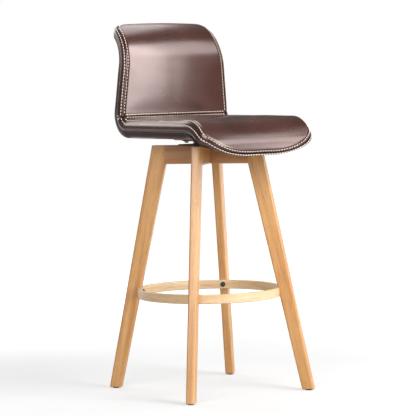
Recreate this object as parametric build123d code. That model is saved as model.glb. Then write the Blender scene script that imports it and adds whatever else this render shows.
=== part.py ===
from build123d import *
import math
import os

# Driving dimensions, in millimetres and degrees.
# The origin is on the floor under the swivel axis, +Z is up and the seat faces -Y.

# Timber frame: two crossing board frames that stand on the diagonals
FRAME_TOP = 690.0
BOARD = 24.0
RAIL_DEPTH = 53.0
RAIL_REACH = 118.0
LEG_TOP_REACH = 156.0
FOOT_REACH = 278.0
FOOT_WIDTH = 34.0
EDGE_ROUND = 5.0
FOOT_CHAMFER = 1.5
LAP_GAP = 0.1
LEG_AZIMUTHS = {"rear_right": 45, "rear_left": 135, "front_left": 225, "front_right": 315}

# Dowels between leg and rail
DOWEL_RADIUS = 4.0
DOWEL_LENGTH = 40.0
DOWEL_EDGE = 14.0
GLUE_GAP = 0.05

# Glides under the feet
GLIDE_RADIUS = 9.0
GLIDE_HEIGHT = 3.0
GLIDE_EDGE = 0.8
GLIDE_STUD_RADIUS = 2.0
GLIDE_STUD_LENGTH = 14.0

# Footrest ring and its fasteners
FOOTREST_HEIGHT = 276.0
FOOTREST_BAND = 26.0
FOOTREST_THICKNESS = 10.0
FOOTREST_ROUND = 3.0
HOUSING_DEPTH = 0.6
HOUSING_GAP = 0.15
FOOT_BOLT_RADIUS = 3.0
FOOT_BOLT_LENGTH = 26.0
FOOT_BOLT_HEAD_RADIUS = 5.25
FOOT_BOLT_HEAD_HEIGHT = 3.3
FOOT_BOLT_HEAD_ROUND = 2.0
HEX_SOCKET_RADIUS = 2.3
HEX_SOCKET_DEPTH = 1.8
WASHER_RADIUS = 7.2
WASHER_THICKNESS = 1.0
INSERT_RADIUS = 5.0
INSERT_LENGTH = 15.0
BOLT_HOLE_GAP = 0.3
THREAD_GAP = 0.05

# Swivel: two plates with a ball race between them
LOWER_PLATE_SIDE = 122.0
UPPER_PLATE_SIDE = 106.0
PLATE_THICKNESS = 2.5
PLATE_CORNER = 12.0
RACE_SPACE = 9.0
RACE_PITCH_RADIUS = 34.0
RACE_HALF_WIDTH = 4.5
RACE_RISE = 2.7
BALL_RADIUS = 2.5
BALL_COUNT = 16
BALL_GAP = 0.1
CAGE_HALF_WIDTH = 3.6
CAGE_THICKNESS = 1.8
PIVOT_RADIUS = 10.0
PIVOT_WALL = 3.0
PIVOT_HEAD_RADIUS = 15.0
PIVOT_HEAD_THICKNESS = 2.0
PIVOT_HEAD_GAP = 0.2
PIVOT_POCKET_GAP = 2.0
RUNNING_GAP = 0.05
LOWER_SCREW_REACH = 70.0
SCREW_RADIUS = 2.2
SCREW_HEAD_RADIUS = 4.2
SCREW_LENGTH = 30.0
SCREW_TIP = 6.0
SCREW_TIP_RADIUS = 0.5

# Bolts that hold the seat on the upper plate
SEAT_BOLT_REACH = 58.0
SEAT_BOLT_RADIUS = 3.0
SEAT_BOLT_FLANGE_RADIUS = 8.0
SEAT_BOLT_FLANGE = 1.5
SEAT_BOLT_HEX_RADIUS = 5.6
SEAT_BOLT_HEX_HEIGHT = 4.0
T_NUT_RADIUS = 4.25
T_NUT_FLANGE_RADIUS = 9.0
T_NUT_FLANGE = 1.5
T_NUT_BARREL = 7.0

# Upholstered shell: layers, measured from the edge seam away from the sitter,
# and where across its thickness a gusset's end strip has sections
MOUNT_BOARD_SIDE = 132.0
MOUNT_BOARD_THICKNESS = 26.0
SHELL_THICKNESS = 10.0
PAD_DEPTH = 12.0
LAYER_GAP = 0.5
GUSSET_THICKNESS = 6.0
COVER_INSET = 1.5
COVER_TAPER = 5.0
END_STRIP_SHARES = (0, 0.5, 1)

# Upholstered shell: side profile, a chain of arcs and straight runs from the front nose to the top,
# and how far apart its stations are at the most
NOSE_RADIUS = 36.0
NOSE_TURN = 64.0
NOSE_RUN = 30.0
LEAD_RADIUS = 105.0
LEAD_TURN = 40.0
SEAT_RUN = 304.0
BEND_START = 136.0
BEND_RADIUS = 28.0
JUNCTION_TURN = 74.0
BACK_LEAN = 3.0
BACK_RUN = 123.0
CURL_RADIUS = 125.0
CURL_TURN = 75.0
STATION_STEP = 20.0
STATION_TURN = 6.0

# Upholstered shell: widths over the side seams, and the rounding of the ends.
# The front is bowed: a short flat, then a quarter ellipse to each side that reaches back by the bow.
FRONT_WIDTH = 376.0
REAR_WIDTH = 368.0
BACK_WIDTH = 344.0
TOP_WIDTH = 314.0
FRONT_FLAT = 80.0
FRONT_BOW = 75.0
TOP_CORNER = 40.0

# Upholstered shell: crown of the pads over the seam, the share of it that their edges have,
# and fullness behind the shell
SEAT_CROWN = 20.0
LEAD_CROWN = 23.0
NOSE_CROWN = 12.0
JUNCTION_CROWN = 10.0
BACK_CROWN = 13.0
TOP_CROWN = 13.0
EDGE_SHARE = 0.6
NOSE_GUSSET = 9.0
SEAT_FULLNESS = 24.0
NOSE_FULLNESS = 8.0
BEND_FULLNESS = 31.0
BACK_FULLNESS = 27.0
TOP_FULLNESS = 9.0
SEAT_SIDE_FULLNESS = 15.0
BEND_SIDE_FULLNESS = 26.0
BACK_SIDE_FULLNESS = 20.0
END_SIDE_FULLNESS = 5.0

# Heights, reaches and radii that follow
FOOT_INNER_REACH = FOOT_REACH - FOOT_WIDTH / 2
FOOT_OUTER_REACH = FOOT_REACH + FOOT_WIDTH / 2
SWIVEL_HEIGHT = 2 * PLATE_THICKNESS + RACE_SPACE
MOUNT_TOP = FRAME_TOP + SWIVEL_HEIGHT
SHELL_BACK_DEPTH = PAD_DEPTH + SHELL_THICKNESS
SEAT_SEAM_HEIGHT = MOUNT_TOP + MOUNT_BOARD_THICKNESS + SHELL_BACK_DEPTH
RAIL_BOTTOM = FRAME_TOP - RAIL_DEPTH
LOWER_PLATE_TOP = FRAME_TOP + PLATE_THICKNESS
UPPER_PLATE_BOTTOM = MOUNT_TOP - PLATE_THICKNESS
BALL_HEIGHT = (LOWER_PLATE_TOP + UPPER_PLATE_BOTTOM) / 2
FOOTREST_BOTTOM = FOOTREST_HEIGHT - FOOTREST_BAND / 2
FOOTREST_TOP = FOOTREST_BOTTOM + FOOTREST_BAND
FOOT_BOLT_HOLE_RADIUS = FOOT_BOLT_RADIUS + BOLT_HOLE_GAP
SEAT_BOLT_HOLE_RADIUS = SEAT_BOLT_RADIUS + BOLT_HOLE_GAP
GLIDE_STUD_TOP = GLIDE_HEIGHT + GLIDE_STUD_LENGTH
SCREW_END = LOWER_PLATE_TOP - SCREW_LENGTH
SCREW_HEAD_DEPTH = SCREW_HEAD_RADIUS - SCREW_RADIUS
SHELL_TOP = SEAT_SEAM_HEIGHT - PAD_DEPTH


def leg_inner_reach(height):
    """Distance of a leg's inner edge from the swivel axis at a height below the rails."""
    return FOOT_INNER_REACH + (RAIL_REACH - FOOT_INNER_REACH) * height / RAIL_BOTTOM


RING_OUTER = leg_inner_reach(FOOTREST_BOTTOM) + HOUSING_DEPTH
RING_INNER = RING_OUTER - FOOTREST_THICKNESS
WASHER_FACE = math.sqrt(RING_INNER**2 - WASHER_RADIUS**2)


def save(name, *solids):
    """Writes the separate solids of one node."""
    shape = solids[0] if len(solids) == 1 else Compound(children=list(solids))
    shape.label = name
    export_step(shape, f"parts/{name}.step")


def around(shape, azimuths):
    """Copies of a shape made along +X, turned about the swivel axis."""
    return [Rot(0, 0, azimuth) * shape for azimuth in azimuths]


def drum(radius, bottom, top):
    """An upright cylinder on the swivel axis between two heights."""
    return Pos(0, 0, bottom) * Cylinder(radius, top - bottom, align=(Align.CENTER, Align.CENTER, Align.MIN))


def rod(radius, start, end, height):
    """A level cylinder along +X between two reaches."""
    turned = Rot(0, 90, 0) * Cylinder(radius, end - start, align=(Align.CENTER, Align.CENTER, Align.MIN))
    return Pos(start, 0, height) * turned


def block(low, high):
    """A box between two corners."""
    size = [b - a for a, b in zip(low, high)]
    return Pos(*low) * Box(*size, align=(Align.MIN, Align.MIN, Align.MIN))


def board(points):
    """A board of the frame's thickness from its outline in the plane of reach and height."""
    return extrude(Plane.XZ * make_face(Polyline(*points, close=True)), amount=BOARD / 2, both=True)


# Timber frame

DOWEL_HEIGHTS = (RAIL_BOTTOM + DOWEL_EDGE, FRAME_TOP - DOWEL_EDGE)


def dowel_pair(radius, extra):
    """The two dowels, or their holes, of the joint at the +X end of a rail."""
    half = DOWEL_LENGTH / 2 + extra
    return [rod(radius, RAIL_REACH - half, RAIL_REACH + half, height) for height in DOWEL_HEIGHTS]


def leg():
    """One leg along +X, with its housing for the ring and its holes."""
    slope = (FOOT_OUTER_REACH - LEG_TOP_REACH) / FRAME_TOP
    inner_foot = leg_inner_reach(GLIDE_HEIGHT)
    outer_foot = FOOT_OUTER_REACH - slope * GLIDE_HEIGHT
    blank = board([
        (RAIL_REACH, FRAME_TOP),
        (LEG_TOP_REACH, FRAME_TOP),
        (outer_foot, GLIDE_HEIGHT),
        (inner_foot, GLIDE_HEIGHT),
        (RAIL_REACH, RAIL_BOTTOM),
    ])
    long_edges = [edge for edge in blank.edges() if edge.length > RAIL_BOTTOM - GLIDE_HEIGHT]
    blank = fillet(long_edges, EDGE_ROUND)
    blank = chamfer(blank.faces().sort_by(Axis.Z)[0].edges(), FOOT_CHAMFER)
    housing = drum(RING_OUTER + HOUSING_GAP, FOOTREST_BOTTOM - HOUSING_GAP, FOOTREST_TOP + HOUSING_GAP)
    insert_end = RING_OUTER + HOUSING_GAP + INSERT_LENGTH
    insert_hole = rod(INSERT_RADIUS + GLUE_GAP, RING_OUTER, insert_end, FOOTREST_HEIGHT)
    bolt_end = RING_INNER + FOOT_BOLT_LENGTH + BOLT_HOLE_GAP
    bolt_hole = rod(FOOT_BOLT_HOLE_RADIUS, RING_OUTER, bolt_end, FOOTREST_HEIGHT)
    stud_hole = Pos(FOOT_REACH, 0, 0) * drum(GLIDE_STUD_RADIUS, GLIDE_HEIGHT, GLIDE_STUD_TOP)
    holes = [housing, insert_hole, bolt_hole, stud_hole]
    return blank - holes - dowel_pair(DOWEL_RADIUS + GLUE_GAP, GLUE_GAP)


def rail(lap_from, lap_to):
    """A rail along X, with its lap cut between two heights and its holes."""
    blank = board([
        (-RAIL_REACH, RAIL_BOTTOM),
        (RAIL_REACH, RAIL_BOTTOM),
        (RAIL_REACH, FRAME_TOP),
        (-RAIL_REACH, FRAME_TOP),
    ])
    long_edges = blank.faces().sort_by(Axis.Z)[0].edges().filter_by(Axis.X)
    blank = fillet(long_edges, EDGE_ROUND)
    half_lap = BOARD / 2 + LAP_GAP
    lap = block((-half_lap, -BOARD, lap_from), (half_lap, BOARD, lap_to))
    holes = []
    for hole in dowel_pair(DOWEL_RADIUS + GLUE_GAP, GLUE_GAP):
        holes += around(hole, (0, 180))
    pilot = Pos(LOWER_SCREW_REACH, 0, 0) * drum(SCREW_RADIUS + GLUE_GAP, SCREW_END, FRAME_TOP)
    return blank - lap - holes - around(pilot, (0, 180))


def glide():
    """A glide under the foot at +X: a rounded disc with a stud."""
    disc = drum(GLIDE_RADIUS, 0, GLIDE_HEIGHT)
    disc = fillet(disc.edges().group_by(Axis.Z)[0], GLIDE_EDGE)
    stud = drum(GLIDE_STUD_RADIUS, GLIDE_HEIGHT, GLIDE_STUD_TOP)
    return Pos(FOOT_REACH, 0, 0) * (disc + stud)


def save_frame():
    """Legs, rails, dowels and glides."""
    azimuths = LEG_AZIMUTHS.values()
    leg_blank = leg()
    for name, azimuth in LEG_AZIMUTHS.items():
        save(f"leg_{name}", Rot(0, 0, azimuth) * leg_blank)
    middle = FRAME_TOP - RAIL_DEPTH / 2
    save("rail_lower_lap", Rot(0, 0, LEG_AZIMUTHS["rear_right"]) * rail(middle - LAP_GAP / 2, FRAME_TOP))
    save("rail_upper_lap", Rot(0, 0, LEG_AZIMUTHS["rear_left"]) * rail(RAIL_BOTTOM, middle + LAP_GAP / 2))
    dowels = [copy for dowel in dowel_pair(DOWEL_RADIUS, 0) for copy in around(dowel, azimuths)]
    save("frame_dowels", *dowels)
    save("foot_glides", *around(glide(), azimuths))


# Footrest


def footrest_ring():
    """Flat band with rounded edges and a bolt hole at each leg."""
    band = drum(RING_OUTER, FOOTREST_BOTTOM, FOOTREST_TOP) - drum(RING_INNER, FOOTREST_BOTTOM, FOOTREST_TOP)
    band = fillet(band.edges().filter_by(GeomType.CIRCLE), FOOTREST_ROUND)
    hole_start = WASHER_FACE - WASHER_THICKNESS
    hole = rod(FOOT_BOLT_HOLE_RADIUS, hole_start, RING_OUTER + WASHER_THICKNESS, FOOTREST_HEIGHT)
    return band - around(hole, LEG_AZIMUTHS.values())


def footrest_bolt():
    """Button-head bolt along +X, its head inside the ring."""
    seat = WASHER_FACE - WASHER_THICKNESS
    head = rod(FOOT_BOLT_HEAD_RADIUS, seat - FOOT_BOLT_HEAD_HEIGHT, seat, FOOTREST_HEIGHT)
    head = fillet(head.edges().group_by(Axis.X)[0], FOOT_BOLT_HEAD_ROUND)
    socket = Plane.YZ * RegularPolygon(HEX_SOCKET_RADIUS, 6)
    socket = Pos(seat - FOOT_BOLT_HEAD_HEIGHT, 0, FOOTREST_HEIGHT) * extrude(socket, HEX_SOCKET_DEPTH)
    shank = rod(FOOT_BOLT_RADIUS, seat, RING_INNER + FOOT_BOLT_LENGTH, FOOTREST_HEIGHT)
    return head + shank - socket


def footrest_washer():
    """Flat washer between the bolt head and the ring."""
    start = WASHER_FACE - WASHER_THICKNESS
    disc = rod(WASHER_RADIUS, start, WASHER_FACE, FOOTREST_HEIGHT)
    return disc - rod(FOOT_BOLT_HOLE_RADIUS, start, WASHER_FACE, FOOTREST_HEIGHT)


def footrest_insert():
    """Threaded sleeve in the leg, flush with the bottom of the housing."""
    start = RING_OUTER + HOUSING_GAP
    end = start + INSERT_LENGTH
    sleeve = rod(INSERT_RADIUS, start, end, FOOTREST_HEIGHT)
    return sleeve - rod(FOOT_BOLT_RADIUS + THREAD_GAP, start, end, FOOTREST_HEIGHT)


def save_footrest():
    """The ring and its fasteners."""
    azimuths = LEG_AZIMUTHS.values()
    save("footrest_ring", footrest_ring())
    save("footrest_bolts", *around(footrest_bolt(), azimuths))
    save("footrest_washers", *around(footrest_washer(), azimuths))
    save("footrest_inserts", *around(footrest_insert(), azimuths))


# Swivel


def square_plate(side, bottom):
    """A square plate with rounded corners, centred on the swivel axis."""
    return Pos(0, 0, bottom) * extrude(RectangleRounded(side, side, PLATE_CORNER), PLATE_THICKNESS)


def race(bottom, top):
    """A raised ring with the groove that the balls run in."""
    ring = drum(RACE_PITCH_RADIUS + RACE_HALF_WIDTH, bottom, top)
    ring -= drum(RACE_PITCH_RADIUS - RACE_HALF_WIDTH, bottom, top)
    groove = Pos(0, 0, BALL_HEIGHT) * Torus(RACE_PITCH_RADIUS, BALL_RADIUS + BALL_GAP)
    return ring - groove


def screw_body():
    """A countersunk wood screw at +X without its point, which is also its hole in the plate."""
    head = Pos(0, 0, LOWER_PLATE_TOP - SCREW_HEAD_DEPTH) * Cone(
        SCREW_RADIUS, SCREW_HEAD_RADIUS, SCREW_HEAD_DEPTH, align=(Align.CENTER, Align.CENTER, Align.MIN)
    )
    shank = drum(SCREW_RADIUS, SCREW_END + SCREW_TIP, LOWER_PLATE_TOP - SCREW_HEAD_DEPTH / 2)
    return Pos(LOWER_SCREW_REACH, 0, 0) * (head + shank)


def lower_screw():
    """The wood screw with its point."""
    point = Cone(SCREW_TIP_RADIUS, SCREW_RADIUS, SCREW_TIP, align=(Align.CENTER, Align.CENTER, Align.MIN))
    return screw_body() + Pos(LOWER_SCREW_REACH, 0, SCREW_END) * point


def lower_plate():
    """The plate on the frame, with the lower race, the pivot's hole and countersunk screw holes."""
    plate = square_plate(LOWER_PLATE_SIDE, FRAME_TOP) + race(LOWER_PLATE_TOP, LOWER_PLATE_TOP + RACE_RISE)
    return plate - drum(PIVOT_RADIUS, FRAME_TOP, MOUNT_TOP) - around(screw_body(), LEG_AZIMUTHS.values())


def upper_plate():
    """The plate under the seat, with the upper race, the pivot's running hole and bolt holes."""
    plate = square_plate(UPPER_PLATE_SIDE, UPPER_PLATE_BOTTOM)
    plate += race(UPPER_PLATE_BOTTOM - RACE_RISE, UPPER_PLATE_BOTTOM)
    plate -= drum(PIVOT_RADIUS + RUNNING_GAP, FRAME_TOP, MOUNT_TOP)
    hole = drum(SEAT_BOLT_HOLE_RADIUS, FRAME_TOP, MOUNT_TOP)
    return plate - around(Pos(SEAT_BOLT_REACH, 0, 0) * hole, LEG_AZIMUTHS.values())


def pivot():
    """Hollow rivet, pressed into the lower plate, with its head over the upper plate."""
    head_bottom = MOUNT_TOP + PIVOT_HEAD_GAP
    head_top = head_bottom + PIVOT_HEAD_THICKNESS
    rivet = drum(PIVOT_RADIUS, FRAME_TOP, head_top) + drum(PIVOT_HEAD_RADIUS, head_bottom, head_top)
    return rivet - drum(PIVOT_RADIUS - PIVOT_WALL, FRAME_TOP, head_top)


def ball_places():
    """Azimuths of the balls."""
    return [360 / BALL_COUNT * index for index in range(BALL_COUNT)]


def ball_cage():
    """Flat ring with a pocket for each ball."""
    bottom = BALL_HEIGHT - CAGE_THICKNESS / 2
    ring = drum(RACE_PITCH_RADIUS + CAGE_HALF_WIDTH, bottom, bottom + CAGE_THICKNESS)
    ring -= drum(RACE_PITCH_RADIUS - CAGE_HALF_WIDTH, bottom, bottom + CAGE_THICKNESS)
    pocket = Pos(RACE_PITCH_RADIUS, 0, 0) * drum(BALL_RADIUS + BALL_GAP, bottom, bottom + CAGE_THICKNESS)
    return ring - around(pocket, ball_places())


def seat_bolt():
    """Flanged hexagon bolt at +X, from under the upper plate up into its nut."""
    flange_bottom = UPPER_PLATE_BOTTOM - SEAT_BOLT_FLANGE
    flange = drum(SEAT_BOLT_FLANGE_RADIUS, flange_bottom, UPPER_PLATE_BOTTOM)
    hexagon = Pos(0, 0, flange_bottom - SEAT_BOLT_HEX_HEIGHT) * extrude(
        RegularPolygon(SEAT_BOLT_HEX_RADIUS, 6), SEAT_BOLT_HEX_HEIGHT
    )
    shank = drum(SEAT_BOLT_RADIUS, UPPER_PLATE_BOTTOM, SHELL_TOP)
    return Pos(SEAT_BOLT_REACH, 0, 0) * (flange + hexagon + shank)


def t_nut(grow):
    """Flanged nut let into the top of the shell at +X, or with grow added its hole."""
    flange_bottom = SHELL_TOP - T_NUT_FLANGE
    flange = drum(T_NUT_FLANGE_RADIUS + grow, flange_bottom - grow, SHELL_TOP)
    barrel = drum(T_NUT_RADIUS + grow, flange_bottom - T_NUT_BARREL, flange_bottom)
    return Pos(SEAT_BOLT_REACH, 0, 0) * (flange + barrel)


def save_swivel():
    """Plates, pivot, bearing and the bolts up into the seat."""
    azimuths = LEG_AZIMUTHS.values()
    save("swivel_lower_plate", lower_plate())
    save("swivel_lower_screws", *around(lower_screw(), azimuths))
    save("swivel_pivot", pivot())
    save("ball_cage", ball_cage())
    ball = Pos(RACE_PITCH_RADIUS, 0, BALL_HEIGHT) * Sphere(BALL_RADIUS)
    save("bearing_balls", *around(ball, ball_places()))
    save("swivel_upper_plate", upper_plate())
    save("seat_bolts", *around(seat_bolt(), azimuths))
    thread = Pos(SEAT_BOLT_REACH, 0, 0) * drum(SEAT_BOLT_RADIUS + THREAD_GAP, MOUNT_TOP, SEAT_SEAM_HEIGHT)
    save("seat_t_nuts", *around(t_nut(0) - thread, azimuths))


# Upholstered shell: stations along the side profile


class Station:
    """A place on the edge seam, with its heading in degrees up from +Y and its run from the nose's end."""

    def __init__(self, y, z, heading, run):
        self.y = y
        self.z = z
        self.heading = heading
        self.run = run

    def moved(self, distance):
        """The station carried on straight along its heading."""
        angle = math.radians(self.heading)
        return Station(
            self.y + distance * math.cos(angle),
            self.z + distance * math.sin(angle),
            self.heading,
            self.run + distance,
        )

    def turned(self, radius, turn):
        """The station carried on round an arc, upwards where the turn is positive."""
        chord = 2 * radius * math.sin(math.radians(abs(turn)) / 2)
        angle = math.radians(self.heading + turn / 2)
        return Station(
            self.y + chord * math.cos(angle),
            self.z + chord * math.sin(angle),
            self.heading + turn,
            self.run + radius * math.radians(abs(turn)),
        )

    def plane(self):
        """The section's plane: x across the seat, y from the shell towards the sitter."""
        angle = math.radians(self.heading)
        return Plane((0, self.y, self.z), x_dir=(1, 0, 0), z_dir=(0, -math.cos(angle), -math.sin(angle)))


RISE_TURN = 90 + BACK_LEAN - JUNCTION_TURN
# Each segment: straight length or radius, and turn
SEGMENTS = {
    "nose": (NOSE_RADIUS, -NOSE_TURN),
    "run": (NOSE_RUN, 0),
    "lead": (LEAD_RADIUS, -LEAD_TURN),
    "seat": (SEAT_RUN, 0),
    "bend": (BEND_RADIUS, JUNCTION_TURN),
    "rise": (BEND_RADIUS, RISE_TURN),
    "back": (BACK_RUN, 0),
    "curl": (CURL_RADIUS, -CURL_TURN),
}


def profile():
    """All stations from nose to top, and the run at the end of each segment."""
    stations = [Station(0, 0, NOSE_TURN + LEAD_TURN, 0)]
    ends = {}
    for name, (size, turn) in SEGMENTS.items():
        count = math.ceil(abs(turn) / STATION_TURN if turn else size / STATION_STEP)
        for _ in range(count):
            last = stations[-1]
            stations.append(last.turned(size, turn / count) if turn else last.moved(size / count))
        ends[name] = len(stations) - 1
    bend_start = stations[ends["seat"]]
    shift_y = BEND_START - bend_start.y
    shift_z = SEAT_SEAM_HEIGHT - bend_start.z
    for station in stations:
        station.y += shift_y
        station.z += shift_z
    return stations, ends


STATIONS, ENDS = profile()
TOP_RUN = STATIONS[-1].run


def run_at(segment):
    """The run at the end of a segment."""
    return STATIONS[ENDS[segment]].run


def along(run, marks):
    """A value at a run, straight between marks of run and value."""
    for (run_a, value_a), (run_b, value_b) in zip(marks, marks[1:]):
        if run <= run_b:
            share = max(0, (run - run_a) / (run_b - run_a))
            return value_a + (value_b - value_a) * share
    return marks[-1][1]


def corner_cut(distance, reach, width):
    """How far an elliptical corner draws the side in, at a distance from the end."""
    if distance >= reach:
        return 0
    share = 1 - max(distance, 0) / reach
    return width * (1 - math.sqrt(1 - share**2))


def half_width(run, inset):
    """Half the width at a run, inside the gusset's outer face by inset."""
    marks = [
        (run_at("lead"), FRONT_WIDTH / 2),
        (run_at("seat"), REAR_WIDTH / 2),
        (run_at("rise"), REAR_WIDTH / 2),
        (run_at("back"), BACK_WIDTH / 2),
        (TOP_RUN, TOP_WIDTH / 2),
    ]
    bow_width = (FRONT_WIDTH - FRONT_FLAT) / 2
    from_front = run + GUSSET_THICKNESS - inset
    from_top = TOP_RUN + GUSSET_THICKNESS - inset - run
    front_cut = corner_cut(from_front, FRONT_BOW - inset, bow_width - inset)
    top_cut = corner_cut(from_top, TOP_CORNER - inset, TOP_CORNER - inset)
    return along(run, marks) - inset - front_cut - top_cut


def crown(run):
    """Height of the pads' middle over the seam."""
    marks = [
        (0, NOSE_CROWN / 2),
        (run_at("nose"), NOSE_CROWN),
        ((run_at("run") + run_at("lead")) / 2, LEAD_CROWN),
        (run_at("lead"), SEAT_CROWN),
        (run_at("seat"), SEAT_CROWN),
        (run_at("bend"), JUNCTION_CROWN),
        ((run_at("rise") + run_at("back")) / 2, BACK_CROWN),
        (run_at("back"), BACK_CROWN),
        (TOP_RUN, TOP_CROWN),
    ]
    return along(run, marks)


def fullness(run):
    """Depth of the outer cover's middle behind the shell."""
    marks = [
        (run_at("run"), NOSE_FULLNESS),
        (run_at("lead"), SEAT_FULLNESS),
        (run_at("seat"), SEAT_FULLNESS),
        (run_at("bend"), BEND_FULLNESS),
        (run_at("rise"), BACK_FULLNESS),
        (run_at("back"), BACK_FULLNESS),
        (TOP_RUN, TOP_FULLNESS),
    ]
    return along(run, marks)


def side_fullness(run):
    """Depth of the outer cover's sides behind the shell."""
    marks = [
        (run_at("run"), END_SIDE_FULLNESS),
        (run_at("lead"), SEAT_SIDE_FULLNESS),
        (run_at("seat"), SEAT_SIDE_FULLNESS),
        (run_at("bend"), BEND_SIDE_FULLNESS),
        (run_at("rise"), BACK_SIDE_FULLNESS),
        (run_at("back"), BACK_SIDE_FULLNESS),
        (TOP_RUN, END_SIDE_FULLNESS),
    ]
    return along(run, marks)


def gusset_depth(run):
    """Width of the edge band."""
    marks = [(0, NOSE_GUSSET), (run_at("lead"), SHELL_BACK_DEPTH)]
    return along(run, marks)


def between(first, last):
    """The stations from the end of one segment to the end of another."""
    return STATIONS[ENDS[first]:ENDS[last] + 1]


def lofted(stations, outline):
    """A solid through the outline at each station, straight from one to the next."""
    return loft([station.plane() * make_face(outline(station.run)) for station in stations], ruled=True)


def band_outline(inset, front, back):
    """A plain four-sided outline between two heights over the seam."""

    def outline(run):
        half = half_width(run, inset)
        return Polyline((-half, front), (half, front), (half, back), (-half, back), close=True)

    return outline


def pad_outline(run):
    """A crowned pad in front of the shell."""
    half = half_width(run, GUSSET_THICKNESS + LAYER_GAP)
    back = LAYER_GAP - PAD_DEPTH
    edge = EDGE_SHARE * crown(run)
    top = ThreePointArc((-half, edge), (0, crown(run)), (half, edge))
    return [top, Polyline((half, edge), (half, back), (-half, back), (-half, edge))]


def cover_outline(run):
    """A full panel behind the shell, with drawn-in sides."""
    half = half_width(run, COVER_INSET)
    rim_half = half - COVER_TAPER
    front = -SHELL_BACK_DEPTH - LAYER_GAP
    rim = -SHELL_BACK_DEPTH - side_fullness(run)
    belly = ThreePointArc((rim_half, rim), (0, -SHELL_BACK_DEPTH - fullness(run)), (-rim_half, rim))
    return [belly, Polyline((-rim_half, rim), (-half, front), (half, front), (rim_half, rim))]


# Upholstered shell: pieces


def seat_shell(mount_holes):
    """Moulded plywood sheet from the nose to the top, inside the gusset."""
    outline = band_outline(GUSSET_THICKNESS + LAYER_GAP, -PAD_DEPTH, -SHELL_BACK_DEPTH)
    return lofted(between("run", "curl"), outline) - mount_holes


def side_outline(side):
    """The edge band's section at one side, from the pads' edge to the outer face."""

    def outline(run):
        inner = side * half_width(run, GUSSET_THICKNESS)
        outer = side * half_width(run, 0)
        back = -gusset_depth(run)
        return Polyline((inner, 0), (outer, 0), (outer, back), (inner, back), close=True)

    return outline


def gusset(stations, end_stations):
    """The edge band: a strip down each side, and one across the end."""
    strips = [lofted(stations, side_outline(side)) for side in (-1, 1)]
    end_depth = gusset_depth(end_stations[0].run)
    strips.append(lofted(end_stations, band_outline(0, 0, -end_depth)))
    return strips[0] + strips[1] + strips[2]


def save_seat():
    """Shell, board and upholstery."""
    azimuths = LEG_AZIMUTHS.values()
    junction = STATIONS[ENDS["bend"]]
    seat_stations = STATIONS[:ENDS["bend"] + 1]
    back_stations = [junction.moved(LAYER_GAP)] + STATIONS[ENDS["bend"] + 1:]
    front_end = [STATIONS[0].moved(-share * GUSSET_THICKNESS) for share in reversed(END_STRIP_SHARES)]
    top_end = [STATIONS[-1].moved(share * GUSSET_THICKNESS) for share in END_STRIP_SHARES]

    save("seat_cushion", lofted([STATIONS[0].moved(LAYER_GAP)] + seat_stations[1:], pad_outline))
    save("back_cushion", lofted(back_stations[:-1] + [STATIONS[-1].moved(-LAYER_GAP)], pad_outline))
    save("seat_gusset", gusset(seat_stations, front_end))
    save("back_gusset", gusset(back_stations, top_end))

    nut_holes = around(t_nut(THREAD_GAP), azimuths)
    bolt_hole = Pos(SEAT_BOLT_REACH, 0, 0) * drum(SEAT_BOLT_HOLE_RADIUS, FRAME_TOP, SEAT_SEAM_HEIGHT)
    bolt_holes = around(bolt_hole, azimuths)
    save("seat_shell", seat_shell(nut_holes + bolt_holes))

    half = MOUNT_BOARD_SIDE / 2
    mount_board = block((-half, -half, MOUNT_TOP), (half, half, MOUNT_TOP + MOUNT_BOARD_THICKNESS))
    pocket_radius = PIVOT_HEAD_RADIUS + PIVOT_POCKET_GAP
    pocket_top = MOUNT_TOP + PIVOT_HEAD_GAP + PIVOT_HEAD_THICKNESS + PIVOT_POCKET_GAP
    save("mount_board", mount_board - drum(pocket_radius, MOUNT_TOP, pocket_top) - bolt_holes)

    wide = half + LAYER_GAP
    window = block((-wide, -wide, FRAME_TOP), (wide, wide, SEAT_SEAM_HEIGHT))
    save("outer_cover", lofted(between("run", "curl") + top_end[1:], cover_outline) - window)


os.makedirs("parts", exist_ok=True)
save_frame()
save_footrest()
save_swivel()
save_seat()
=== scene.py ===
import functools
import math

import bpy
import numpy as np
from mathutils import Matrix, Vector


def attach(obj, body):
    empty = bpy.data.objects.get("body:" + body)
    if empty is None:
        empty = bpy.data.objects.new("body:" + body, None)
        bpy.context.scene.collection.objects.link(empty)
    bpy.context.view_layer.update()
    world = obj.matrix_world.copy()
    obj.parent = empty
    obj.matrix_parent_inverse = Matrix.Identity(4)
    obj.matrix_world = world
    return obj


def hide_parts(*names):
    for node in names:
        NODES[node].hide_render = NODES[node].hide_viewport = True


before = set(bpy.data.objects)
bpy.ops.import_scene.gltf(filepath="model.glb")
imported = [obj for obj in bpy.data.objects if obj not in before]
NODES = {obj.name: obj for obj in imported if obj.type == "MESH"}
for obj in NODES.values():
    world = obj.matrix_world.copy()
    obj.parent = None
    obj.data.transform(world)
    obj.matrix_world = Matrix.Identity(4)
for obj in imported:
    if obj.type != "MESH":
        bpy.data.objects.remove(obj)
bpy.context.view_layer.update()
MM = 0.001

# Side profile of the upholstered shell, in millimetres and degrees: (length or radius, turn)
SEGMENTS = {
    "nose": (36.0, -64.0),
    "run": (30.0, 0.0),
    "lead": (105.0, -40.0),
    "seat": (304.0, 0.0),
    "bend": (28.0, 74.0),
    "rise": (28.0, 19.0),
    "back": (123.0, 0.0),
    "curl": (125.0, -75.0),
}
START_HEADING = 104.0
BEND_START = 136.0
SEAM_HEIGHT = 752.0

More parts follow.
